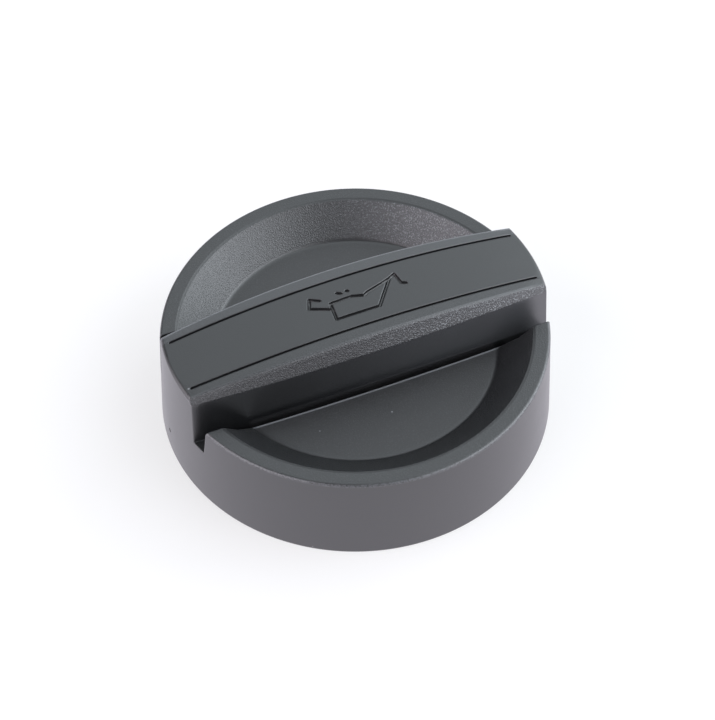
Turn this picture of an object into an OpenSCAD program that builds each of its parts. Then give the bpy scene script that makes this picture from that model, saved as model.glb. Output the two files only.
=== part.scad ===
// Oil filler cap: a moulded grip cap, the bayonet plug that clips up inside it,
// and the rubber ring that seals on the filler neck.
// The foot of the skirt stands on Z = 0 and the grip bar runs along X.

/* [Skirt] */
// Radius of the skirt at the rim
rim_r = 32.5; // [31.5:0.25:36]
// Radius of the skirt at its foot, a little larger for draft
skirt_foot_r = 33.35; // [32.75:0.05:36.5]
// Height of the rim above the foot
rim_h = 17.2; // [16:0.2:20]
// Width of the flat band round the rim
rim_band = 2.75; // [2:0.25:4]
// Thickness of the skirt wall
skirt_wall = 2.2; // [1.8:0.1:2.8]
// Rounding of the rim's outer edge
rim_round = 0.5; // [0.2:0.1:0.8]
// Rounding of the skirt's foot
foot_round = 0.4; // [0.2:0.1:0.8]

/* [Dish] */
// Radius of the flat floor of the dish
dish_r = 24; // [21:0.5:26]
// Depth of the dish below the rim
dish_depth = 4.75; // [3.5:0.25:5.5]
// Thickness of the dish floor
dish_wall = 1.8; // [1.5:0.1:2.2]
// Rounding between the dish's cone and its floor
dish_round = 1.4; // [0.5:0.1:2.5]
// Rounding of the rim's inner edge
lip_round = 0.5; // [0.2:0.1:0.8]

/* [Grip bar] */
// Height of the bar's crown above the foot
bar_crown_h = 24.4; // [22:0.2:28]
// Drop of the bar's top from its crown to its ends
bar_arch = 2.8; // [1.5:0.1:3.5]
// Width of the bar's top at its middle
bar_top_w = 15.8; // [13:0.2:18]
// Width of the bar's top at its ends
bar_top_end_w = 13.5; // [11:0.25:15]
// Width over the grip edges at the middle
grip_w = 18.6; // [17:0.2:20]
// Width over the grip edges at the ends
grip_end_w = 14.9; // [14:0.1:16]
// Height of the grip edges above the foot, at the middle
grip_edge_h = 21.3; // [20:0.1:22]
// Height of the grip edges above the foot, at the ends
grip_edge_end_h = 20.4; // [19.5:0.1:21]
// Width of the bar where it enters the dish
bar_foot_w = 16.1; // [15:0.1:17]
// Thickness of the bar's walls
bar_wall = 2.2; // [1.6:0.1:2.6]
// Rounding of the bar's long top edges
bar_edge_round = 0.45; // [0.2:0.05:0.8]
// Rounding of the bar's end edges
bar_end_round = 0.9; // [0.4:0.1:1.5]
// Set-in of the bar's ends behind the skirt's face
bar_set_in = 0.05; // [0.05:0.05:0.3]

/* [Finger slots] */
// Gap between the bar and the dish floor at the middle
slot_gap = 1.75; // [1.2:0.05:2.5]
// Gap between the bar and the dish floor at the ends of the dish
slot_end_gap = 1.4; // [1:0.05:2]
// Gap between the bar and the skirt in the end notches
notch_gap = 2.55; // [2.2:0.05:3.2]
// Widening of the end notches up to the rim
notch_draft = 0.5; // [0:0.1:1]
// Depth of the end notches below the rim
notch_depth = 5.6; // [4:0.2:7]

/* [Engraving] */
// Width of the two lines along the bar
line_w = 0.45; // [0.3:0.05:0.8]
// Distance of each line from the bar's middle, at the centre
line_off = 5.5; // [4:0.05:6.5]
// Distance of each line from the bar's middle, at the ends
line_end_off = 5.1; // [4:0.05:5.5]
// Half length of the lines
line_half = 30.5; // [26:0.5:31]
// Stroke width of the oil-can sign
sign_w = 0.55; // [0.4:0.05:0.8]
// Depth of the engraved lines and sign
engrave_depth = 0.5; // [0.2:0.05:0.8]

/* [Ribs] */
// Thickness of the ribs
rib_t = 1.6; // [1.2:0.1:2]
// Distance of the ribs inside the bar from its middle
bar_rib_x = 11; // [8:0.5:14]
// Spacing of the ribs under the dish
tie_pitch = 13; // [10:0.5:15]
// Drop of these ribs below the dish's underside where they cross a slot
tie_drop = 0.6; // [0.1:0.05:0.8]

/* [Plug seat] */
// Height of the plug's seat above the foot
seat_h = 9; // [8.5:0.1:9.6]
// Inner radius of the collar that the plug clips into
collar_r = 26.1; // [25.5:0.1:27]
// Thickness of the collar
collar_wall = 1.6; // [1.2:0.1:2]
// Reach of the snap bead under the plug's flange
bead_reach = 0.5; // [0.3:0.1:0.8]
// Height of the snap bead
bead_h = 0.6; // [0.4:0.1:1]

/* [Bayonet plug] */
// Radial clearance between the plug's flange and the collar
flange_clear = 0.1; // [0.05:0.05:0.3]
// Thickness of the plug's flange
flange_t = 2; // [1.6:0.1:2.4]
// Radius of the stub that enters the filler neck
stub_r = 19.5; // [17:0.5:20.5]
// Wall of the stub
stub_wall = 2.2; // [1.8:0.1:3]
// Height of the stub's mouth above the foot
stub_foot = 0.4; // [0.2:0.1:1]
// Reach of the bayonet lugs beyond the stub
lug_reach = 2; // [1:0.1:2.4]
// Height of a bayonet lug
lug_h = 2.2; // [1.6:0.1:2.6]
// Angle that a bayonet lug covers
lug_angle = 40; // [30:2:50]
// Number of bayonet lugs
lug_count = 3; // [2:1:4]
// Height of the stiffening ribs inside the stub
web_h = 2; // [1:0.1:2.5]

/* [Sealing ring] */
// Radial clearance between the ring and the stub
ring_clear = 0.1; // [0.05:0.05:0.3]
// Radial width of the ring
ring_w = 4.4; // [3:0.2:5]
// Thickness of the ring
ring_t = 2; // [1.6:0.1:2.4]
// Height of the sealing lips on the ring
lip_h = 0.5; // [0.2:0.1:0.6]

/* [Hidden] */

plastic = [0.30, 0.31, 0.33];
plug_plastic = [0.13, 0.13, 0.14];
rubber = [0.07, 0.07, 0.075];

// Facets of a round, of a full turn, and stations along the bar
round_n = 5;
turn_n = 180;
stations = 26;
// Overshoot of the cutting shapes, and lap of those that follow each other
over = 1;
lap = 0.1;
// Reach of the flare that joins a slot to its notch: once past the dish's edge and twice before it
flare = 1;

dish_floor = rim_h - dish_depth;
dish_under = dish_floor - dish_wall;
cone_top_r = rim_r - rim_band;
cone_angle = atan2(dish_depth, cone_top_r - dish_r);
under_r = dish_r + dish_wall * tan(cone_angle / 2);
notch_floor = rim_h - notch_depth;
bar_half = bar_foot_w / 2;
slot_edge = bar_half + slot_gap;
slot_end_edge = bar_half + slot_end_gap;
notch_edge = bar_half + notch_gap;
slot_low = dish_under - tie_drop;
flange_under = seat_h - flange_t;
flange_r = collar_r - flange_clear;

// Radius of the drafted skirt at height z, and of its inner face
function skirt_r(z) = skirt_foot_r - (skirt_foot_r - rim_r) * z / rim_h;
function skirt_in(z) = skirt_r(z) - skirt_wall;

// Height of the underside at radius r: flat below the dish, then along the cone up to the rim
function under_cone(r) = min(dish_under + max(0, r - under_r) * tan(cone_angle), rim_h - dish_wall / 2);

// A value that eases from mid at the centre to end at the skirt, as a shallow arc
function bowed(mid, end, x) = mid + (end - mid) * pow(x / rim_r, 2);

// Points of a fillet of radius r that rounds corner b between a and c
function unit(v) = v / norm(v);
function fillet(a, b, c, r) =
    let (u = unit(a - b), v = unit(c - b), half = acos(u * v) / 2,
         centre = b + unit(u + v) * r / sin(half),
         first = b + u * r / tan(half), last = b + v * r / tan(half),
         a0 = atan2(first[1] - centre[1], first[0] - centre[0]),
         a1 = atan2(last[1] - centre[1], last[0] - centre[0]),
         sweep = a1 - a0 > 180 ? a1 - a0 - 360 : a1 - a0 < -180 ? a1 - a0 + 360 : a1 - a0)
    [for (i = [0 : round_n]) centre + r * [cos(a0 + sweep * i / round_n), sin(a0 + sweep * i / round_n)]];

// Height of the bar's arched top at x
function bar_top(x) = bar_crown_h - bowed(0, bar_arch, x);

// Half section of the bar at x, from its foot up to its middle, with its walls set in by t
function bar_side(x, t, low) =
    let (foot = [bar_half - t, low],
         grip = [bowed(grip_w, grip_end_w, x) / 2 - t, bowed(grip_edge_h, grip_edge_end_h, x) - t / 2],
         edge = [bowed(bar_top_w, bar_top_end_w, x) / 2 - t, bar_top(x) - t],
         middle = [0, bar_top(x) - t])
    concat([foot, grip], fillet(grip, edge, middle, bar_edge_round));

function bar_section(x, t, low) =
    let (side = bar_side(x, t, low), n = len(side))
    concat([for (p = side) [x, p[0], p[1]]], [for (i = [n - 1 : -1 : 0]) [x, -side[i][0], side[i][1]]]);

// Skin over equal rings of points, closed at both ends
module skin(rings) {
    n = len(rings[0]);
    m = len(rings);
    walls = [for (i = [0 : m - 2], j = [0 : n - 1])
        let (a = i * n + j, b = i * n + (j + 1) % n)
        each [[a, b + n, b], [a, a + n, b + n]]];
    first = [[for (j = [0 : n - 1]) j]];
    last = [[for (j = [n - 1 : -1 : 0]) (m - 1) * n + j]];
    polyhedron(points = [for (r = rings) each r], faces = concat(walls, first, last), convexity = 4);
}

// The bar as one long arched loft, its walls set in by t and its foot at low
module bar_loft(t, low) {
    reach = skirt_foot_r + over;
    skin([for (i = [0 : stations]) bar_section(-reach + 2 * reach * i / stations, t, low)]);
}

// Everything just inside the drafted skirt, carried up to the bar's arched ends with a rounded
// shoulder, and closed by a cone that rises clear of the arch
module skirt_envelope() {
    foot = [skirt_foot_r - bar_set_in, 0];
    end = skirt_r(bar_top(rim_r)) - bar_set_in;
    shoulder = [end, bar_top(end)];
    apex = [0, bar_crown_h + bar_arch + over];
    rotate_extrude($fn = turn_n)
        polygon(concat([[0, 0], foot], fillet(foot, shoulder, apex, bar_end_round), [apex]));
}

// The inside of the skirt
module skirt_core(low, high) {
    rotate_extrude($fn = turn_n)
        polygon([[0, low], [skirt_in(low), low], [skirt_in(high), high], [0, high]]);
}

// Skirt, rim, cone and dish floor in one turned wall
module shell() {
    foot_out = [skirt_foot_r, 0];
    rim_out = [rim_r, rim_h];
    lip = [cone_top_r, rim_h];
    floor_edge = [dish_r, dish_floor];
    under_top = [rim_r - skirt_wall, under_cone(rim_r - skirt_wall)];
    foot_in = [skirt_foot_r - skirt_wall, 0];
    rotate_extrude($fn = turn_n)
        polygon(concat(
            fillet(foot_in, foot_out, rim_out, foot_round),
            fillet(foot_out, rim_out, lip, rim_round),
            fillet(rim_out, lip, floor_edge, lip_round),
            fillet(lip, floor_edge, [0, dish_floor], dish_round),
            [[0, dish_floor], [0, dish_under], [under_r, dish_under], under_top, foot_in]));
}

// Plan of the slots' outer edges: bowed beside the dish, then flared out to the notches
module slot_plan() {
    reach = dish_r - 2 * flare;
    wide = notch_edge + notch_draft / 2;
    bow = [for (i = [0 : stations])
        let (t = 2 * i / stations - 1) [reach * t, slot_edge + (slot_end_edge - slot_edge) * t * t]];
    side = concat([[-dish_r - flare, wide]], bow, [[dish_r + flare, wide]]);
    polygon(concat(side, [for (i = [len(side) - 1 : -1 : 0]) [side[i][0], -side[i][1]]]));
}

// Section of an end notch, wider at the rim
module notch_section(low, high) {
    slope = notch_draft / notch_depth;
    a = notch_edge + (low - notch_floor) * slope;
    b = notch_edge + (high - notch_floor) * slope;
    polygon([[-a, low], [a, low], [b, high], [-b, high]]);
}

// All that is cut away to free the bar from the dish and the skirt
module finger_slots() {
    high = rim_h + over;
    start = dish_r + flare - lap;
    translate([0, 0, slot_low]) linear_extrude(high - slot_low) slot_plan();
    for (m = [0, 1])
        mirror([m, 0, 0]) {
            translate([start, 0, 0]) rotate([90, 0, 90])
                linear_extrude(skirt_foot_r + over - start) notch_section(notch_floor, high);
            intersection() {
                skirt_core(slot_low, notch_floor + over);
                translate([start, -notch_edge, 0]) cube([skirt_foot_r, 2 * notch_edge, rim_h]);
            }
        }
}

// The hollow bar, with its ends in the line of the skirt
module bar() {
    difference() {
        intersection() {
            bar_loft(0, seat_h);
            skirt_envelope();
        }
        intersection() {
            bar_loft(bar_wall, seat_h - over);
            skirt_core(0, bar_crown_h + over);
        }
    }
}

// Two cross ribs inside the bar
module bar_ribs() {
    for (s = [-1, 1])
        intersection() {
            bar_loft(bar_wall / 2, seat_h);
            translate([s * bar_rib_x - rib_t / 2, -grip_w, 0]) cube([rib_t, 2 * grip_w, bar_crown_h]);
        }
}

// Everything between the plug's seat and the middle of the dish's wall, out into the skirt
module under_dish(inner, low) {
    outer = skirt_in(low) + skirt_wall / 2;
    mid = dish_wall / 2;
    rotate_extrude($fn = turn_n)
        polygon([[inner, low], [outer, low], [outer, under_cone(outer) + mid],
                 [max(inner, under_r), under_cone(max(inner, under_r)) + mid], [inner, dish_under + mid]]);
}

// Ribs under the dish that tie the bar to the skirt on both sides
module tie_ribs() {
    start = bar_half - bar_wall / 2;
    intersection() {
        under_dish(0, seat_h);
        for (m = [0, 1], i = [-1 : 1])
            mirror([0, m, 0]) translate([i * tie_pitch - rib_t / 2, start, 0])
                cube([rib_t, rim_r - start, rim_h]);
    }
}

// Floor and side walls of the pockets behind the end notches
module end_pockets() {
    start = bar_half - bar_wall / 2;
    low = seat_h - rib_t;
    intersection() {
        under_dish(collar_r + collar_wall / 2, low);
        for (mx = [0, 1], my = [0, 1])
            mirror([mx, 0, 0]) mirror([0, my, 0]) {
                translate([0, start, low]) cube([rim_r, notch_edge + rib_t - start, rib_t]);
                translate([0, notch_edge, low]) cube([rim_r, rib_t, rim_h]);
            }
    }
}

// Collar on the underside with a snap bead that holds the plug's flange
module collar() {
    out = collar_r + collar_wall;
    mid = dish_wall / 2;
    bead_top = flange_under - flange_clear / 2;
    rotate_extrude($fn = turn_n)
        polygon([[collar_r, under_cone(collar_r) + mid], [out, under_cone(out) + mid],
                 [out, bead_top - bead_h], [collar_r, bead_top - bead_h],
                 [collar_r - bead_reach, bead_top - bead_h / 2], [collar_r - bead_reach, bead_top],
                 [collar_r, bead_top]]);
}

// Outline of a stroke of width w along a list of points
module stroke(points, w) {
    for (i = [0 : len(points) - 2]) {
        d = points[i + 1] - points[i];
        translate(points[i]) circle(d = w, $fn = 12);
        translate(points[i]) rotate(atan2(d[1], d[0])) translate([0, -w / 2]) square([norm(d), w]);
        translate(points[i + 1]) circle(d = w, $fn = 12);
    }
}

// Two lines that follow the bar's long edges
module edge_lines() {
    for (s = [-1, 1])
        polygon([for (t = [-1, 1], i = [0 : stations])
            let (x = t * line_half * (2 * i / stations - 1))
                [x, s * (bowed(line_off, line_end_off, x) + t * line_w / 2)]]);
}

// The oil-can sign that such caps carry: can and spout, handle, lid knob and drip
module oil_can_sign() {
    can = [[-4, 0.85], [-4.3, -2.7], [3.3, -2.7], [7.1, 2.3], [5.6, 1.75], [2.7, 0.9], [1.8, 0.4], [-0.3, 1]];
    stroke(concat(can, [can[0]]), sign_w);
    stroke([[-4.5, -0.3], [-7.6, 1.16], [-6.9, 2.96], [-5.4, 2.1]], sign_w);
    stroke([[-2.2, 2.5], [-1.6, 2.2]], sign_w);
    stroke([[-0.55, 2.35], [-0.35, 2.3]], sign_w);
    stroke([[7.1, 2.3], [8.2, 2.9], [8.6, 0.7], [9.3, 0.4]], sign_w);
}

// Engraving, cut to one depth below the arched top
module engraving() {
    difference() {
        translate([0, 0, bar_crown_h - bar_arch - over]) linear_extrude(bar_arch + 2 * over) {
            edge_lines();
            oil_can_sign();
        }
        bar_loft(engrave_depth, seat_h);
    }
}

module grip_cap() {
    color(plastic) difference() {
        union() {
            difference() {
                union() {
                    shell();
                    tie_ribs();
                    collar();
                    end_pockets();
                }
                finger_slots();
            }
            bar();
            bar_ribs();
        }
        engraving();
    }
}

// One bayonet lug, with a lead-in ramp at one end
module lug() {
    ramp = lug_angle / 4;
    root = stub_r - stub_wall / 2;
    out = stub_r + lug_reach;
    rotate([0, 0, -lug_angle / 2])
        rotate_extrude(angle = lug_angle, $fn = turn_n)
            translate([root, stub_foot]) square([out - root, lug_h / 2]);
    rotate([0, 0, -lug_angle / 2])
        rotate_extrude(angle = lug_angle - ramp, $fn = turn_n)
            translate([root, stub_foot]) square([out - root, lug_h]);
}

module bayonet_plug() {
    in = stub_r - stub_wall;
    color(plug_plastic) {
        rotate_extrude($fn = turn_n)
            polygon(concat([[0, flange_under], [0, seat_h]],
                fillet([0, seat_h], [flange_r, seat_h], [flange_r, flange_under], flange_t / 4),
                [[flange_r, flange_under], [stub_r, flange_under]],
                fillet([stub_r, flange_under], [stub_r, stub_foot], [in, stub_foot], stub_wall / 5),
                fillet([stub_r, stub_foot], [in, stub_foot], [in, flange_under], stub_wall / 5),
                [[in, flange_under]]));
        for (i = [0 : lug_count - 1]) rotate([0, 0, 90 + i * 360 / lug_count]) lug();
        intersection() {
            translate([0, 0, flange_under - web_h])
                cylinder(r = stub_r - stub_wall / 2, h = web_h + flange_t / 2, $fn = turn_n);
            for (a = [0, 90]) rotate([0, 0, a])
                translate([-stub_r, -rib_t / 2, 0]) cube([2 * stub_r, rib_t, seat_h]);
        }
    }
}

// Flat rubber ring with two shallow lips on its sealing face
module sealing_ring() {
    in = stub_r + ring_clear;
    low = flange_under - ring_t;
    lip_w = ring_w / 4;
    color(rubber) rotate_extrude($fn = turn_n)
        polygon([[in, flange_under], [in, low + lip_h], [in + lip_w / 2, low], [in + lip_w, low],
                 [in + 1.5 * lip_w, low + lip_h], [in + 2.5 * lip_w, low + lip_h], [in + 3 * lip_w, low],
                 [in + 3.5 * lip_w, low], [in + ring_w, low + lip_h], [in + ring_w, flange_under]]);
}

grip_cap();
bayonet_plug();
sealing_ring();
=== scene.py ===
# %% [markdown]
# This lesson dresses an engine oil filler cap: a moulded cap with a crowned grip bar across a dished top, and
# underneath a bayonet plug and a rubber sealing ring. The construction comes in as a finished frame of solids in
# metres. The plug and the ring keep those solids. The cap itself is modelled again here, because a moulding looks
# right only when its faces flow and its edges are truly round.

import math

import bmesh
import bpy
from mathutils import Euler, Matrix, Vector


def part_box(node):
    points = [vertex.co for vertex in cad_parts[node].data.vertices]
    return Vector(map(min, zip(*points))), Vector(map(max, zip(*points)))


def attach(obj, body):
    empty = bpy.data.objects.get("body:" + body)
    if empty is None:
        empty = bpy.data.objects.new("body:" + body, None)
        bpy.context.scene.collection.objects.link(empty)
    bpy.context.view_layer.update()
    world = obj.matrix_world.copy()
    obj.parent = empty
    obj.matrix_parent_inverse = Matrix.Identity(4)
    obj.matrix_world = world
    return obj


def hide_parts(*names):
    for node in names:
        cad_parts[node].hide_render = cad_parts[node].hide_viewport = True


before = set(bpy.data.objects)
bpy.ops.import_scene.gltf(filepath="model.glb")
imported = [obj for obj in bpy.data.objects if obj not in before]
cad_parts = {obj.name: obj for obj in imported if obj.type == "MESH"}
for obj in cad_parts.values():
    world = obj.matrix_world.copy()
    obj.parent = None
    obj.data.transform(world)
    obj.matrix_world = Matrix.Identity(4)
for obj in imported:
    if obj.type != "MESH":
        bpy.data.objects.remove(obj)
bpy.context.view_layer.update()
MM = 0.001
cap_low, cap_high = (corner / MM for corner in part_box("grip_cap"))
print("cap, mm:", [round(v, 2) for v in cap_low], [round(v, 2) for v in cap_high])

# %% [markdown]
# The photograph was taken from the front left, well above the cap, with a long lens. The camera's place is written
# as a distance, a height angle and a turn round the cap, because those are what a photographer would set. A small
# shift sideways and up stays in millimetres, and the last turn levels the picture.

# %% Camera
CAMERA_DISTANCE = 379.5
CAMERA_ELEVATION = 50.56
CAMERA_AZIMUTH = -22.33
CAMERA_ROLL = -0.41
CAMERA_SIDE = 0.36
CAMERA_RISE = 5.64
LENS = 110

camera = bpy.data.objects.new("camera", bpy.data.cameras.new("camera"))
bpy.context.scene.collection.objects.link(camera)
turn = Euler((math.radians(90 - CAMERA_ELEVATION), 0, math.radians(CAMERA_AZIMUTH))).to_matrix().to_4x4()
step_back = Matrix.Translation(Vector((CAMERA_SIDE, CAMERA_RISE, CAMERA_DISTANCE)) * MM)
camera.matrix_world = turn @ step_back @ Matrix.Rotation(math.radians(CAMERA_ROLL), 4, "Z")
camera.data.lens = LENS
camera.data.clip_start = 0.01
bpy.context.scene.camera = camera
print("camera at, mm:", [round(v / MM, 1) for v in camera.matrix_world.translation])

# %% [markdown]
# Every size of the cap is named once, in millimetres. The widths and heights of the outside come from the frame's
# own box, so the dressed cap keeps to the solid that it stands for.

# %% Sizes of the cap
FOOT_R = cap_high.x
CROWN_H = cap_high.z
RIM_R = 32.5
RIM_H = 17.2
RIM_BAND = 2.75
WALL = 2.2
DISH_R = 24
DISH_FLOOR = 12.45
DISH_WALL = 1.8
SEAT_H = 9
STEPS = 216
OVER = 1
print("rim, mm:", 2 * RIM_R, "foot, mm:", round(2 * FOOT_R, 2), "crown, mm:", round(CROWN_H, 2))

# %% [markdown]
# Small bmesh helpers come first. A profile starts as one flat face of a few corners, and bevel on the corners alone
# rounds them. Only its edges are then kept and spun about Z, which is how a lathe would turn the form.

# %% Turning a rounded profile
ROUND_STEPS = 5
WELD = 1e-5
print("steps in a round:", ROUND_STEPS, "and in a turn:", STEPS)


def corner_bevel(bm, rounds):
    for corner, reach in rounds:
        vert = min(bm.verts, key=lambda v: (v.co - Vector(corner)).length)
        bmesh.ops.bevel(bm, geom=[vert], offset=reach, offset_type="OFFSET", segments=ROUND_STEPS, profile=0.5,
                        affect="VERTICES", material=-1)


def flat_face(corners, rounds=()):
    bm = bmesh.new()
    bm.faces.new([bm.verts.new(c) for c in corners])
    corner_bevel(bm, rounds)
    return bm


def as_object(name, bm):
    bmesh.ops.remove_doubles(bm, verts=bm.verts, dist=WELD)
    bmesh.ops.dissolve_degenerate(bm, edges=bm.edges, dist=WELD)
    bmesh.ops.delete(bm, geom=[e for e in bm.edges if not e.link_faces], context="EDGES")
    bmesh.ops.recalc_face_normals(bm, faces=bm.faces)
    mesh = bpy.data.meshes.new(name)
    bm.to_mesh(mesh)
    bm.free()
    made = bpy.data.objects.new(name, mesh)
    bpy.context.scene.collection.objects.link(made)
    return made


def turned(name, corners, rounds=()):
    """A solid turned from a profile of (radius, height) corners, with (corner, reach) rounds."""
    bm = flat_face([(r, 0, z) for r, z in corners], [((r, 0, z), reach) for (r, z), reach in rounds])
    bmesh.ops.delete(bm, geom=bm.faces[:], context="FACES_ONLY")
    bmesh.ops.spin(bm, geom=bm.verts[:] + bm.edges[:], cent=(0, 0, 0), axis=(0, 0, 1), angle=math.tau, steps=STEPS,
                   use_merge=True)
    return as_object(name, bm)


def extruded(name, corners, way):
    """A solid pushed along way from a flat face of corners."""
    bm = flat_face(corners)
    pushed = bmesh.ops.extrude_face_region(bm, geom=bm.faces[:])
    bmesh.ops.translate(bm, vec=way, verts=[g for g in pushed["geom"] if isinstance(g, bmesh.types.BMVert)])
    return as_object(name, bm)


def combined(first, others, operation):
    """The union, difference or intersection of solids; the solids that went in are removed."""
    for other in others:
        step = first.modifiers.new("step", "BOOLEAN")
        step.operation = operation
        step.solver = "MANIFOLD"
        step.object = other
    mesh = bpy.data.meshes.new_from_object(first.evaluated_get(bpy.context.evaluated_depsgraph_get()))
    first.modifiers.clear()
    first.data = mesh
    for other in others:
        bpy.data.objects.remove(other)
    return first


def said(made):
    bm = bmesh.new()
    bm.from_mesh(made.data)
    open_edges = sum(1 for e in bm.edges if not e.is_manifold)
    print(made.name, "faces", len(bm.faces), "open edges", open_edges, "volume", round(bm.calc_volume(), 1), "mm3")
    bm.free()


# %% [markdown]
# The shell is one wall that runs from the skirt's foot over the rim, down the cone and across the dish. A moulded
# wall like this is the same thickness nearly everywhere, so its profile is drawn as an outer line and an inner one
# beside it.

# %% Shell
CONE_TOP_R = RIM_R - RIM_BAND
CONE_SLOPE = (RIM_H - DISH_FLOOR) / (CONE_TOP_R - DISH_R)
UNDER_R = DISH_R + DISH_WALL * math.tan(math.atan(CONE_SLOPE) / 2)
DISH_UNDER = DISH_FLOOR - DISH_WALL


def skirt_r(z):
    return FOOT_R - (FOOT_R - RIM_R) * z / RIM_H


def under_cone(r):
    return min(DISH_UNDER + (r - UNDER_R) * CONE_SLOPE, RIM_H - DISH_WALL / 2)


rim, lip, floor_edge = (RIM_R, RIM_H), (CONE_TOP_R, RIM_H), (DISH_R, DISH_FLOOR)
foot, foot_in = (FOOT_R, 0), (FOOT_R - WALL, 0)
under_top = (RIM_R - WALL, under_cone(RIM_R - WALL))
outer_line = [foot_in, foot, rim, lip, floor_edge, (0, DISH_FLOOR)]
inner_line = [(0, DISH_UNDER), (UNDER_R, DISH_UNDER), under_top]
shell = turned("shell", outer_line + inner_line,
               [(foot_in, 0.3), (foot, 0.4), (rim, 0.5), (lip, 0.3), (floor_edge, 0.35), (under_top, 0.5)])
said(shell)

# %% [markdown]
# Under the dish there are a collar with a snap bead, ribs that tie the bar to the skirt, and the floor and side
# walls of the two end pockets. They are plain, and they are cut from one turned block, so that they all follow the
# cone's underside.

# %% Collar, ribs and pockets
COLLAR_R = 26.1
COLLAR_WALL = 1.6
FLANGE_UNDER = 7
BEAD_REACH = 0.5
BEAD_H = 0.6
BEAD_PLAY = 0.05
RIB = 1.6
TIE_PITCH = 13
BAR_FOOT = 8.05
BAR_WALL = 2.2
NOTCH_WIDTH = 2.55
NOTCH_HALF = BAR_FOOT + NOTCH_WIDTH


def under_dish(name, inner, low):
    outer = skirt_r(low) - WALL / 2
    mid = DISH_WALL / 2
    return turned(name, [(inner, low), (outer, low), (outer, under_cone(outer) + mid),
                         (max(inner, UNDER_R), DISH_UNDER + mid), (inner, DISH_UNDER + mid)])


def block(name, low, high):
    bm = bmesh.new()
    bmesh.ops.create_cube(bm, size=1)
    low, high = Vector(low), Vector(high)
    bmesh.ops.scale(bm, vec=high - low, verts=bm.verts)
    bmesh.ops.translate(bm, vec=(low + high) / 2, verts=bm.verts)
    return as_object(name, bm)


out = COLLAR_R + COLLAR_WALL
bead_top = FLANGE_UNDER - BEAD_PLAY
collar = turned("collar", [(COLLAR_R, under_cone(COLLAR_R) + DISH_WALL / 2), (out, under_cone(out) + DISH_WALL / 2),
                           (out, bead_top - BEAD_H), (COLLAR_R, bead_top - BEAD_H),
                           (COLLAR_R - BEAD_REACH, bead_top - BEAD_H / 2), (COLLAR_R - BEAD_REACH, bead_top),
                           (COLLAR_R, bead_top)])
start = BAR_FOOT - BAR_WALL / 2
ties = []
for i in (-1, 0, 1):
    for near, far in ((start, RIM_R), (-RIM_R, -start)):
        ties.append(block("tie", (i * TIE_PITCH - RIB / 2, near, 0), (i * TIE_PITCH + RIB / 2, far, RIM_H)))
rib_block = combined(ties[0], ties[1:], "UNION")
ribs = combined(under_dish("ribs", 0, SEAT_H), [rib_block], "INTERSECT")
pocket_low = SEAT_H - RIB
walls = []
for sx in (-1, 1):
    for sy in (-1, 1):
        far_x = sorted((0, sx * RIM_R))
        deck = sorted((sy * start, sy * (NOTCH_HALF + RIB)))
        side = sorted((sy * NOTCH_HALF, sy * (NOTCH_HALF + RIB)))
        walls.append(block("deck", (far_x[0], deck[0], pocket_low), (far_x[1], deck[1], SEAT_H)))
        walls.append(block("side", (far_x[0], side[0], pocket_low), (far_x[1], side[1], RIM_H)))
pockets = combined(under_dish("pockets", COLLAR_R + COLLAR_WALL / 2, pocket_low),
                   [combined(walls[0], walls[1:], "UNION")], "INTERSECT")
shell = combined(shell, [collar, ribs, pockets], "UNION")
said(shell)

# %% [markdown]
# Two finger slots free the bar from the dish, and at each end a wide notch in the skirt lets them out. In plan a
# slot is bowed like the bar, and it flares where it meets the notch. The notches are cut by a tapered section, so
# that the mould could draw, and the bar fills the middle of each one later.

# %% Slots and notches
SLOT_MID = BAR_FOOT + 1.75
SLOT_END = BAR_FOOT + 1.4
FLARE = 1
LAP = 0.1
NOTCH_FLOOR = RIM_H - 5.6
NOTCH_SPREAD = 0.5
NOTCH_DRAFT = NOTCH_SPREAD / (RIM_H - NOTCH_FLOOR)
SLOT_LOW = DISH_UNDER - 0.6
STATIONS = 32
high = RIM_H + OVER
reach = DISH_R - 2 * FLARE
wide = NOTCH_HALF + NOTCH_SPREAD / 2
steps = [2 * i / STATIONS - 1 for i in range(STATIONS + 1)]
bow = [(reach * t, SLOT_MID + (SLOT_END - SLOT_MID) * t * t) for t in steps]
bow = [(-DISH_R - FLARE, wide)] + bow + [(DISH_R + FLARE, wide)]
plan = [(x, y, SLOT_LOW) for x, y in bow] + [(x, -y, SLOT_LOW) for x, y in reversed(bow)]
cuts = [extruded("slot", plan, (0, 0, high - SLOT_LOW))]
notch_top = NOTCH_HALF + (high - NOTCH_FLOOR) * NOTCH_DRAFT
notch_start = DISH_R + FLARE - LAP
for s in (-1, 1):
    section = [(s * notch_start, y, z) for y, z in ((-NOTCH_HALF, NOTCH_FLOOR), (NOTCH_HALF, NOTCH_FLOOR),
                                                   (notch_top, high), (-notch_top, high))]
    cuts.append(extruded("notch", section, (s * (FOOT_R + OVER - notch_start), 0, 0)))
    core = turned("core", [(0, SLOT_LOW), (skirt_r(SLOT_LOW) - WALL, SLOT_LOW),
                           (skirt_r(NOTCH_FLOOR + OVER) - WALL, NOTCH_FLOOR + OVER), (0, NOTCH_FLOOR + OVER)])
    span = sorted((s * notch_start, s * FOOT_R))
    pocket = block("pocket", (span[0], -NOTCH_HALF, 0), (span[1], NOTCH_HALF, RIM_H))
    cuts.append(combined(core, [pocket], "INTERSECT"))
shell = combined(shell, cuts, "DIFFERENCE")
said(shell)

# %% [markdown]
# The grip bar starts as one rounded section at the middle of the cap. It is pushed along X in many short steps, and
# then each ring is bent by the bar's own rules: the top arches down to the ends, the grip edges draw in, and the foot
# stays straight. Bending an extrusion keeps the rounds of the section all along the bar.

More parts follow.
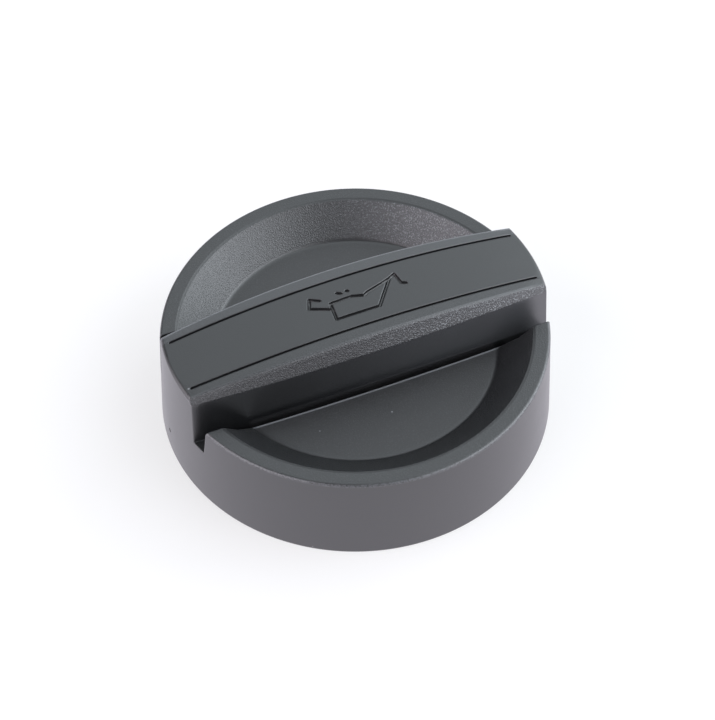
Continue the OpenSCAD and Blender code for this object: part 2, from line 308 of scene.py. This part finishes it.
# %% Grip bar
BAR_ARCH = 2.8
TOP_HALF, TOP_END_HALF = 7.9, 6.75
GRIP_HALF, GRIP_END_HALF = 9.3, 7.45
GRIP_H, GRIP_END_H = 21.3, 20.4
TOP_ROUND = 0.4
GRIP_ROUND = 0.35
END_ROUND = 0.5


def bowed(mid, end, x):
    return mid + (end - mid) * (x / RIM_R) ** 2


def bar_top(x):
    return CROWN_H - bowed(0, BAR_ARCH, x)


def bar_loft(name, inset, low, rounds=True, pieces=72):
    """The whole bar as one long solid, its walls set in by inset and its foot at low."""
    reach = FOOT_R + OVER
    top_z, grip_z = CROWN_H - inset, GRIP_H - inset / 2
    half = [(BAR_FOOT - inset, low), (GRIP_HALF - inset, grip_z), (TOP_HALF - inset, top_z)]
    corners = [(-reach, y, z) for y, z in half] + [(-reach, -y, z) for y, z in reversed(half)]
    rounded = []
    if rounds:
        for side in (-1, 1):
            rounded.append(((-reach, side * (GRIP_HALF - inset), grip_z), GRIP_ROUND))
            rounded.append(((-reach, side * (TOP_HALF - inset), top_z), TOP_ROUND))
    bm = flat_face(corners, rounded)
    front = bm.faces[:]
    for i in range(pieces):
        pushed = bmesh.ops.extrude_face_region(bm, geom=front)["geom"]
        verts = [g for g in pushed if isinstance(g, bmesh.types.BMVert)]
        if i:
            bmesh.ops.delete(bm, geom=front, context="FACES_ONLY")
        front = [g for g in pushed if isinstance(g, bmesh.types.BMFace)]
        bmesh.ops.translate(bm, vec=(2 * reach / pieces, 0, 0), verts=verts)
    for v in bm.verts:
        x, y, z = v.co
        end_grip_z = bowed(GRIP_H, GRIP_END_H, x) - inset / 2
        if z > grip_z:
            up = (z - grip_z) / (top_z - grip_z)
            v.co.z = end_grip_z + up * (bar_top(x) - inset - end_grip_z)
            wide = bowed(GRIP_HALF, GRIP_END_HALF, x) / GRIP_HALF * (1 - up)
            wide += bowed(TOP_HALF, TOP_END_HALF, x) / TOP_HALF * up
        else:
            up = (z - low) / (grip_z - low)
            v.co.z = low + up * (end_grip_z - low)
            wide = 1 - up + up * bowed(GRIP_HALF, GRIP_END_HALF, x) / GRIP_HALF
        v.co.y = y * wide
    return as_object(name, bm)


bar = bar_loft("bar", 0, SEAT_H)
said(bar)

# %% [markdown]
# The bar's ends lie in the line of the skirt, so the loft is cut by one turned envelope with a softly rounded
# shoulder. A second, smaller loft hollows it from below, and two ribs cross the hollow.

# %% Bar ends, hollow and ribs
crown = CROWN_H + OVER
end = skirt_r(bar_top(RIM_R))
shoulder = (end, bar_top(end))
envelope = turned("envelope", [(0, 0), (FOOT_R, 0), shoulder, (0, crown + BAR_ARCH)], [(shoulder, END_ROUND)])
bar = combined(bar, [envelope], "INTERSECT")
BAR_RIB_X = 11
hollow = combined(bar_loft("hollow", BAR_WALL, SEAT_H - OVER, rounds=False, pieces=24),
                  [turned("core", [(0, 0), (skirt_r(0) - WALL, 0), (skirt_r(crown) - WALL, crown), (0, crown)])],
                  "INTERSECT")
rib_blocks = [block("rib", (x - RIB / 2, -GRIP_HALF, 0), (x + RIB / 2, GRIP_HALF, CROWN_H + OVER))
              for x in (-BAR_RIB_X, BAR_RIB_X)]
hollow = combined(hollow, rib_blocks, "DIFFERENCE")
bar = combined(bar, [hollow], "DIFFERENCE")
cap = combined(shell, [bar], "UNION")
said(cap)

# %% [markdown]
# The engraving is a narrow groove with a rounded bottom, deep enough to look dark. Each stroke is made flat, as a row
# of short round rods with balls at the joints, then stretched downwards and bent onto the arched top, and taken away
# from the cap. Rods and balls keep one width round sharp corners, where a bevelled curve would pinch. A small ball
# cuts a pit that a knock has left in the skirt.

# %% Engraved lines and oil-can sign
LINE_MID, LINE_END, LINE_REACH = 5.5, 5.1, 30.5
LINE_WIDTH = 0.45
SIGN_WIDTH = 0.62
GROOVE_DEPTH = 0.5
LINE_PIECES = 16
PIT, PIT_R = (-33.1, 1.5, 4.4), 0.42


def strokes(name, points, width):
    """Cutters for one stroke along (x, y) points, bent onto the bar's top."""
    made = []
    for i, (x, y) in enumerate(points):
        bm = bmesh.new()
        bmesh.ops.create_uvsphere(bm, u_segments=16, v_segments=8, radius=width / 2)
        bmesh.ops.translate(bm, vec=(x, y, 0), verts=bm.verts)
        made.append(bm)
        if i + 1 < len(points):
            here, there = Vector((x, y, 0)), Vector((*points[i + 1], 0))
            bm = bmesh.new()
            bmesh.ops.create_cone(bm, cap_ends=True, segments=16, radius1=width / 2, radius2=width / 2,
                                  depth=(there - here).length)
            way = (there - here).to_track_quat("Z", "Y").to_matrix().to_4x4()
            bmesh.ops.transform(bm, matrix=Matrix.Translation((here + there) / 2) @ way, verts=bm.verts)
            made.append(bm)
    for bm in made:
        for v in bm.verts:
            v.co.z = v.co.z * GROOVE_DEPTH / (width / 2) + bar_top(v.co.x)
    return [as_object(name, bm) for bm in made]


line = [LINE_REACH * (2 * i / LINE_PIECES - 1) for i in range(LINE_PIECES + 1)]
grooves = []
for side in (-1, 1):
    grooves += strokes("line", [(x, side * bowed(LINE_MID, LINE_END, x)) for x in line], LINE_WIDTH)
can = [(-4, 0.85), (-4.3, -2.7), (3.3, -2.7), (7.1, 2.3), (5.6, 1.75), (2.7, 0.9), (1.8, 0.4), (-0.3, 1), (-4, 0.85)]
handle = [(-4.5, -0.3), (-7.6, 1.16), (-6.9, 2.96), (-5.4, 2.1)]
knob = [(-2.2, 2.5), (-1.6, 2.2)]
knob_end = [(-0.55, 2.35), (-0.35, 2.3)]
drip = [(7.1, 2.3), (8.2, 2.9), (8.6, 0.7), (9.3, 0.4)]
for name, points in (("can", can), ("handle", handle), ("knob", knob), ("knob_end", knob_end), ("drip", drip)):
    grooves += strokes(name, points, SIGN_WIDTH)
pit_bm = bmesh.new()
bmesh.ops.create_uvsphere(pit_bm, u_segments=16, v_segments=8, radius=PIT_R)
bmesh.ops.translate(pit_bm, vec=PIT, verts=pit_bm.verts)
grooves.append(as_object("pit", pit_bm))
print("cutters:", len(grooves))
cap = combined(cap, grooves, "DIFFERENCE")
said(cap)

# %% [markdown]
# A boolean leaves flat-shaded faces. The finished cap is shaded smooth, with every fold of more than 32 degrees
# kept sharp. Normals weighted by face area keep the large flat faces flat right up to their rounds, so that only the
# rounds turn the light.

# %% Finish the cap's mesh
SHARP_FOLD = math.radians(32)
LAST_WELD = 2e-4


def finished(made, name):
    made.name = name
    made.data.name = name
    bm = bmesh.new()
    bm.from_mesh(made.data)
    bmesh.ops.remove_doubles(bm, verts=bm.verts, dist=LAST_WELD)
    bmesh.ops.dissolve_degenerate(bm, edges=bm.edges, dist=LAST_WELD)
    bmesh.ops.scale(bm, vec=(MM, MM, MM), verts=bm.verts)
    for face in bm.faces:
        face.smooth = True
    bm.to_mesh(made.data)
    bm.free()
    made.data.set_sharp_from_angle(angle=SHARP_FOLD)
    weigh = made.modifiers.new("weigh", "WEIGHTED_NORMAL")
    weigh.keep_sharp = True
    return made


cap = finished(cap, "cap_moulding")
print(cap.name, "vertices", len(cap.data.vertices), "sharp folds from, degrees:", round(math.degrees(SHARP_FOLD)))

# %% [markdown]
# The materials are worked out from the place on the piece, in millimetres. Shader maths would be hard to read as a
# web of nodes, so a small class wraps a socket, and ordinary Python arithmetic on it adds the Math nodes. All other
# nodes come from one method.

# %% Shader arithmetic
class Amount:
    """A number that changes over the surface; arithmetic on it adds Math nodes."""

    def __init__(self, paint, socket):
        self.paint = paint
        self.socket = socket

    def math(self, operation, first, second=0.0):
        return self.paint.math(operation, first, second)

    def __add__(self, other):
        return self.math("ADD", self, other)

    def __radd__(self, other):
        return self.math("ADD", other, self)

    def __sub__(self, other):
        return self.math("SUBTRACT", self, other)

    def __rsub__(self, other):
        return self.math("SUBTRACT", other, self)

    def __mul__(self, other):
        return self.math("MULTIPLY", self, other)

    def __rmul__(self, other):
        return self.math("MULTIPLY", other, self)

    def __truediv__(self, other):
        return self.math("DIVIDE", self, other)

    def __pow__(self, other):
        return self.math("POWER", self, other)

    def __abs__(self):
        return self.math("ABSOLUTE", self)

    def above(self, edge, soft):
        """0 below the edge and 1 above it, eased over a width of soft."""
        ease = self.paint.node("ShaderNodeMapRange", {"interpolation_type": "SMOOTHSTEP"},
                               {"Value": self - edge, "From Min": -soft / 2, "From Max": soft / 2})
        return Amount(self.paint, ease.outputs["Result"])

    def below(self, edge, soft):
        """1 below the edge and 0 above it."""
        return 1 - self.above(edge, soft)


class Paint:
    """A material under work, with its surface shader and its place in millimetres."""

    def __init__(self, name):
        self.material = bpy.data.materials.new(name)
        self.material.use_nodes = True
        self.tree = self.material.node_tree
        self.shader = self.tree.nodes["Principled BSDF"]
        place = self.node("ShaderNodeTexCoord").outputs["Object"]
        self.place = self.node("ShaderNodeVectorMath", {"operation": "SCALE"}, {0: place, "Scale": 1 / MM}).outputs[0]
        split = self.node("ShaderNodeSeparateXYZ", {}, {0: self.place})
        self.x, self.y, self.z = (Amount(self, split.outputs[i]) for i in range(3))

    def node(self, kind, settings=None, sockets=None):
        made = self.tree.nodes.new(kind)
        for key, value in (settings or {}).items():
            setattr(made, key, value)
        for key, value in (sockets or {}).items():
            value = value.socket if isinstance(value, Amount) else value
            if isinstance(value, bpy.types.NodeSocket):
                self.tree.links.new(value, made.inputs[key])
            else:
                made.inputs[key].default_value = value
        return made

    def math(self, operation, first, second=0.0):
        return Amount(self, self.node("ShaderNodeMath", {"operation": operation}, {0: first, 1: second}).outputs[0])

    def noise(self, size, detail=2.0, roughness=0.5):
        made = self.node("ShaderNodeTexNoise", {}, {"Vector": self.place, "Scale": 1 / size, "Detail": detail,
                                                    "Roughness": roughness})
        return Amount(self, made.outputs["Fac"])

    def set(self, **values):
        for key, value in values.items():
            socket = self.shader.inputs[key.replace("_", " ")]
            if isinstance(value, Amount):
                self.tree.links.new(value.socket, socket)
            elif isinstance(value, bpy.types.NodeSocket):
                self.tree.links.new(value, socket)
            else:
                socket.default_value = value

    def colour_mix(self, amount, low, high):
        """From low to high by amount. The colours are a Mix node's sockets 6 and 7, as A and B name three pairs."""
        low, high = (c if isinstance(c, bpy.types.NodeSocket) else (*c, 1) for c in (low, high))
        return self.node("ShaderNodeMix", {"data_type": "RGBA"}, {0: amount, 6: low, 7: high}).outputs[2]

    def vector_mix(self, amount, low, high):
        """The same for directions, which are sockets 4 and 5."""
        return self.node("ShaderNodeMix", {"data_type": "VECTOR"}, {0: amount, 4: low, 5: high}).outputs[1]

    def bump(self, height, distance, normal=None):
        sockets = {"Height": height, "Distance": distance * MM, "Strength": 1.0}
        if normal is not None:
            sockets["Normal"] = normal
        return self.node("ShaderNodeBump", {}, sockets).outputs[0]


# %% [markdown]
# The cap is one charcoal plastic with two finishes that the mould gives it: satin on the bar's top and the skirt, and
# a spark-eroded grain on the grip bands and the dish's cone, where fingers hold it. Each zone is a mask worked out
# from the place, with an edge and the width over which it eases. The rules that bent the bar serve here again,
# because they take a shader amount as well as a number.

# %% Zones of the cap
TOP_DEPTH = 0.9
WALL_FROM, WALL_TO = 7.2, 9.6
charcoal = Paint("cap_plastic")
x, y, z = charcoal.x, charcoal.y, charcoal.z
radius = (x ** 2 + y ** 2) ** 0.5
width = abs(y)
at_back = y.above(0, 1)
top_half = bowed(TOP_HALF, TOP_END_HALF, x)
depth = bar_top(x) - z
on_top = depth.below(TOP_DEPTH, 0.3)
on_band = width.above(top_half + 0.05, 0.3) * z.above(bowed(GRIP_H, GRIP_END_H, x), 0.5)
on_strip = on_top * width.above(bowed(LINE_MID, LINE_END, x) + 0.3, 0.2)
on_cone = radius.above(DISH_R + 0.3, 0.6) * radius.below(CONE_TOP_R, 0.4) * width.above(GRIP_HALF, 0.3)
on_cone = on_cone * z.above(DISH_FLOOR, 0.3) * z.below(RIM_H - 0.1, 0.2)
in_dish = radius.below(DISH_R - 0.5, 1) * z.below(DISH_FLOOR + 0.3, 0.2)
beside_bar = width.above(NOTCH_HALF - 0.5, 0.2) * z.below(RIM_H + 0.3, 0.1)
on_rim = radius.above(CONE_TOP_R + 0.2, 0.3) * z.above(RIM_H - 0.45, 0.2) * beside_bar
on_wall = width.above(WALL_FROM, 0.2) * width.below(WALL_TO, 0.2) * z.above(DISH_FLOOR, 0.5)
on_wall = on_wall * (1 - on_band) * (1 - on_top)
print("nodes for the zones:", len(charcoal.tree.nodes))

# %% [markdown]
# Spark erosion leaves a field of tiny rounded craters, so the grain is noise, in two sizes. Its peaks are rubbed
# pale, which a photograph shows as a speckle. A third, slow noise keeps broad faces from looking drawn.

# %% Grain
GRAIN = 0.25
FINE_GRAIN = 0.15
CLOUD = 6.0
FRONT_CONE_GRAIN, BACK_CONE_GRAIN = 0.25, 0.6
coarse = charcoal.noise(GRAIN, 2.0, 0.6)
fine = charcoal.noise(FINE_GRAIN, 1.0)
cloud = charcoal.noise(CLOUD, 3.0) - 0.5
grained = on_band + on_cone * (FRONT_CONE_GRAIN + (BACK_CONE_GRAIN - FRONT_CONE_GRAIN) * at_back)
speckle = coarse.above(0.58, 0.16) * grained
print("grain, mm:", GRAIN, FINE_GRAIN)

# %% [markdown]
# Small edges are softened in the shader, because a Bevel node's normal rounds an edge without a single new face.
# Inside the engraving and deep in the slots it would smear the dark lines, so those places keep the mesh's own normal
# and get a near-black colour that paints the shade in them.

# %% Soft edges and painted shade in grooves
EDGE_ROUND = 0.25
ENGRAVED_HALF, ENGRAVED_REACH = 6.2, 31.2
SLOT_SHADE_R = 29.5
folded = charcoal.node("ShaderNodeBevel", {"samples": 8}, {"Radius": EDGE_ROUND * MM}).outputs[0]
facing = charcoal.node("ShaderNodeNewGeometry").outputs["Normal"]
turned_by = charcoal.node("ShaderNodeVectorMath", {"operation": "DOT_PRODUCT"}, {0: folded, 1: facing})
# Painted shade: the engraving and the deep parts of the slots are painted near-black for the shade in them, and the
# same mask keeps the mesh's own normal there.
groove_shade = depth.above(0.08, 0.06) * z.above(GRIP_END_H + 0.9, 0.1)
groove_shade = groove_shade * width.below(ENGRAVED_HALF, 0.1) * abs(x).below(ENGRAVED_REACH, 0.1)
shaded = z.below(DISH_FLOOR - 0.9, 0.5) * z.above(SEAT_H + 0.3, 0.3)
groove_shade = groove_shade + shaded * radius.below(SLOT_SHADE_R, 0.5)
print("edge round, mm:", EDGE_ROUND)

# %% [markdown]
# Use has left its marks, and light is painted with them in one pale colour. Corners are painted pale, partly as rubbed
# wear and partly as a painted highlight. Painted highlights put a pale line along each slot on the dish, a broken pale
# line round the rim, and pale top edges and strips on the bar, most at the back. The bar's walls, and the grip band
# and back cone toward the bar's right end, are painted lighter where more light falls, and the grain's speckle with
# them.
# The named shares say how far each mark takes the charcoal toward its pale colour. A few specks of dust and one pit
# are placed one by one.

# %% Wear and painted light
FOLD_WEAR_AND_HIGHLIGHT, SLOT_HIGHLIGHT, RIM_HIGHLIGHT, BAR_EDGE_HIGHLIGHT = 0.2, 0.9, 0.4, 0.55
STRIP_HIGHLIGHT, WALL_LIGHT, FRONT_HIGHLIGHT_SHARE = 0.15, 0.25, 0.25
GRAIN_WEAR, LIT_RIGHT_GRAIN, LIT_RIGHT_TONE, LIT_RIGHT_ON_CONE = 0.2, 0.7, 0.12, 1.8
DISH_WEAR, RIM_WEAR, CLOUD_TONE = 0.07, 0.08, 0.03
# Every rounded fold is painted pale, partly as rubbed wear and partly as a painted highlight along the edge.
folds = (1 - Amount(charcoal, turned_by.outputs["Value"])).above(0.04, 0.06) * (0.7 + cloud) * (1 - groove_shade)
# Painted highlight: a pale line along each slot's edge on the dish floor, where the edge catches light.
slot_side = SLOT_MID + (SLOT_END - SLOT_MID) * (x / (DISH_R - 2 * FLARE)) ** 2
slot_highlight = abs(width - slot_side - 0.1).below(0.22, 0.15) * z.above(DISH_FLOOR - 0.35, 0.1)
slot_highlight = slot_highlight * radius.below(DISH_R, 2) * z.below(DISH_FLOOR + 0.3, 0.1)
# Painted highlight: a broken pale line round the rim's outer edge.
rim_highlight = abs(radius - (RIM_R - 0.12)).below(0.14, 0.16) * z.above(RIM_H - 0.45, 0.2) * beside_bar
# Painted highlight: the bar's top edges and the strips outside the lines are pale, most at the back, where the light
# behind catches them.
bar_edge_highlight = on_top * width.above(top_half - 0.3, 0.2) * (1 - on_band)
# Painted light: the grip band and the back cone grow paler toward the right, where more light falls, and the grain's
# speckle there is painted paler with them.
lit_right = x.above(6, 36) * on_band + x.above(14, 20) * on_cone * at_back * LIT_RIGHT_ON_CONE
tone = speckle * GRAIN_WEAR + (speckle * LIT_RIGHT_GRAIN + LIT_RIGHT_TONE) * lit_right
tone = tone + folds * FOLD_WEAR_AND_HIGHLIGHT + slot_highlight * SLOT_HIGHLIGHT + rim_highlight * coarse.above(0.45, 0.3) * RIM_HIGHLIGHT
tone = tone + (on_strip * STRIP_HIGHLIGHT + bar_edge_highlight * BAR_EDGE_HIGHLIGHT) * (at_back * (1 - FRONT_HIGHLIGHT_SHARE) + FRONT_HIGHLIGHT_SHARE)
# Painted light: the bar's side walls are painted lighter toward the right end. The slow cloud tone is random.
tone = tone + on_wall * x.above(0, 40) * WALL_LIGHT + cloud * CLOUD_TONE
tone = tone + coarse.above(0.6, 0.16) * (in_dish * DISH_WEAR + on_rim * RIM_WEAR)
SPECKS = [((0.2, -15.2, 12.4), 0.14, 1.0),
          ((8.0, -26.9, 15.8), 0.11, 0.8),
          ((-12.2, -14.3, 12.4), 0.12, 0.8),
          (PIT, PIT_R, -1.0),
          ((-19.0, -27.4, 0.7), 0.12, 0.8),
          ((-30.95, -5.0, 21.86), 0.16, 1.0)]
for spot, reach, paleness in SPECKS:
    away = charcoal.node("ShaderNodeVectorMath", {"operation": "DISTANCE"}, {0: charcoal.place, 1: spot})
    here = Amount(charcoal, away.outputs["Value"]).below(reach, reach)
    tone = tone + here * paleness
    # A negative paleness paints the spot near-black as shade, as in the pit.
    groove_shade = groove_shade + here * max(0, -paleness)
print("specks:", len(SPECKS))

# %% [markdown]
# Only colour, roughness and the normal change over the surface. The dish's floor is a little rougher than the bar's
# top, because no finger polishes it, and the grain's height differs from zone to zone.

# %% Charcoal plastic
CHARCOAL = (0.0088, 0.0096, 0.0104)
# Near-black painted shade for the grooves, the deep slots and the pit.
SHADE_BLACK = (0.004, 0.004, 0.0045)
# The pale colour toward which the wear, the painted highlights and the painted light lead.
PALE_WEAR_AND_LIGHT = (0.17, 0.18, 0.19)
GRAIN_DEPTH = 0.15
SATIN = 0.35
DISH_ROUGHER, GRAIN_ROUGHER, CLOUD_ROUGHER = 0.2, 0.04, 0.06
grain_height = on_band + on_cone * 0.7 + on_strip * 0.3 + in_dish * 0.15 + on_rim * 0.4
normal = charcoal.vector_mix(groove_shade, folded, facing)
charcoal.set(Base_Color=charcoal.colour_mix(groove_shade, charcoal.colour_mix(tone, CHARCOAL, PALE_WEAR_AND_LIGHT), SHADE_BLACK),
             Roughness=SATIN + grained * GRAIN_ROUGHER + in_dish * DISH_ROUGHER + cloud * CLOUD_ROUGHER,
             Normal=charcoal.bump(fine * 0.1 + coarse * grain_height, GRAIN_DEPTH, normal),
             Specular_IOR_Level=1.0)
cap.data.materials.clear()
cap.data.materials.append(charcoal.material)
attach(cap, "root")
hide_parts("grip_cap")
print("nodes in the cap's plastic:", len(charcoal.tree.nodes))

# %% [markdown]
# The plug and the ring are seen only from below. They keep the frame's solids. The plug is the same kind of plastic
# without its grey dye, with the faint flow clouds of a glass-filled moulding, and the ring is matt rubber with a
# trace of moulding dust.

# %% Plug plastic and seal rubber
PLUG_DARK, PLUG_PALE = (0.022, 0.022, 0.024), (0.04, 0.04, 0.042)
RUBBER, RUBBER_DUST = (0.016, 0.016, 0.017), (0.045, 0.045, 0.043)
PORE_DEPTH = 0.02
black = Paint("plug_plastic")
flow = black.noise(4.0, 3.0)
pores = black.noise(0.3, 1.0)
black.set(Base_Color=black.colour_mix(flow, PLUG_DARK, PLUG_PALE),
          Roughness=0.42 + flow * 0.12,
          Normal=black.bump(pores, PORE_DEPTH))
rubber = Paint("seal_rubber")
dust = rubber.noise(1.2, 4.0, 0.7)
skin = rubber.noise(0.15, 2.0)
rubber.set(Base_Color=rubber.colour_mix(dust.above(0.62, 0.2), RUBBER, RUBBER_DUST),
           Roughness=0.72 + dust * 0.15,
           Normal=rubber.bump(skin, PORE_DEPTH))
for node, paint in (("bayonet_plug", black), ("sealing_ring", rubber)):
    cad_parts[node].data.materials.clear()
    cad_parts[node].data.materials.append(paint.material)
    print(node, "wears", paint.material.name)

# %% [markdown]
# The cap stands on white paper in a light tent. The floor is a plain pale sheet that keeps a soft shadow, and part of
# its white is its own, so that no lamp has to burn the paper out. The dark skirt mirrors the paper, so what the cap
# sees of it is set apart from what the camera sees, a little brighter and tinted lilac. Seen from below the paper is
# clear, so that the plug and the ring can be looked at.

# %% Floor
FLOOR_HALF = 1.5
PAPER = (0.85, 0.845, 0.855, 1)
WHITE_TO_CAMERA = 0.62
WHITE_TO_CAP = 0.95
GLOW_TO_CAP = 1.25
TINT_TO_CAP = (0.98, 0.95, 1.04)
floor_bm = bmesh.new()
bmesh.ops.create_grid(floor_bm, x_segments=1, y_segments=1, size=FLOOR_HALF)
floor = as_object("floor", floor_bm)
paper = Paint("paper")
paper.set(Base_Color=PAPER, Roughness=0.9, Specular_IOR_Level=0.1)
seen = Amount(paper, paper.node("ShaderNodeLightPath").outputs["Is Camera Ray"])
own_white = WHITE_TO_CAMERA * seen + WHITE_TO_CAP * (1 - seen)
glow = paper.node("ShaderNodeEmission", {}, {"Color": paper.colour_mix(seen, TINT_TO_CAP, (1, 1, 1)),
                                             "Strength": seen + GLOW_TO_CAP * (1 - seen)})
mixed = paper.node("ShaderNodeMixShader", {}, {0: own_white, 1: paper.shader.outputs[0], 2: glow.outputs[0]})
below = paper.node("ShaderNodeNewGeometry").outputs["Backfacing"]
clear = paper.node("ShaderNodeBsdfTransparent")
sided = paper.node("ShaderNodeMixShader", {}, {0: below, 1: mixed.outputs[0], 2: clear.outputs[0]})
paper.tree.links.new(sided.outputs[0], paper.tree.nodes["Material Output"].inputs["Surface"])
floor.data.materials.append(paper.material)
print("floor, m:", 2 * FLOOR_HALF)

# %% [markdown]
# A dark moulding shows mostly what it mirrors, so the light is set by its reflections. A key from the right models
# the grained cone and grips. Low lights from the front right, the right and the left draw the skirt, and one behind
# is mirrored by the bar's flat top. The lights are suns with a wide disc, because they light the whole floor evenly,
# as a tent does.

# %% Light
def soft_light(name, azimuth, elevation, spread, strength, tint):
    lamp = bpy.data.lights.new(name, "SUN")
    lamp.color = tint
    lamp.angle = math.radians(spread)
    lamp.energy = strength
    made = bpy.data.objects.new(name, lamp)
    bpy.context.scene.collection.objects.link(made)
    a, e = math.radians(azimuth), math.radians(elevation)
    way = Vector((math.sin(a) * math.cos(e), -math.cos(a) * math.cos(e), math.sin(e)))
    made.rotation_euler = way.to_track_quat("Z", "Y").to_euler()
    print(name, "from, degrees:", azimuth, elevation)


COOL = (0.92, 1.0, 1.06)
PALE_BLUE = (0.98, 0.98, 1.05)
MAUVE = (1.03, 0.97, 1.05)
soft_light("key", 74, 42, 70, 1.3, COOL)
soft_light("light_front", 45, 20, 80, 2.4, PALE_BLUE)
soft_light("light_right", 100, 20, 60, 1.3, COOL)
soft_light("light_left", -86, 20, 80, 3.1, MAUVE)
soft_light("light_behind", 157, 50, 70, 1.05, COOL)
TENT_FILL = 0.1
world = bpy.data.worlds.new("tent")
world.use_nodes = True
world.node_tree.nodes["Background"].inputs["Color"].default_value = (1, 1, 1, 1)
world.node_tree.nodes["Background"].inputs["Strength"].default_value = TENT_FILL
bpy.context.scene.world = world
bpy.context.scene.view_settings.view_transform = "Standard"
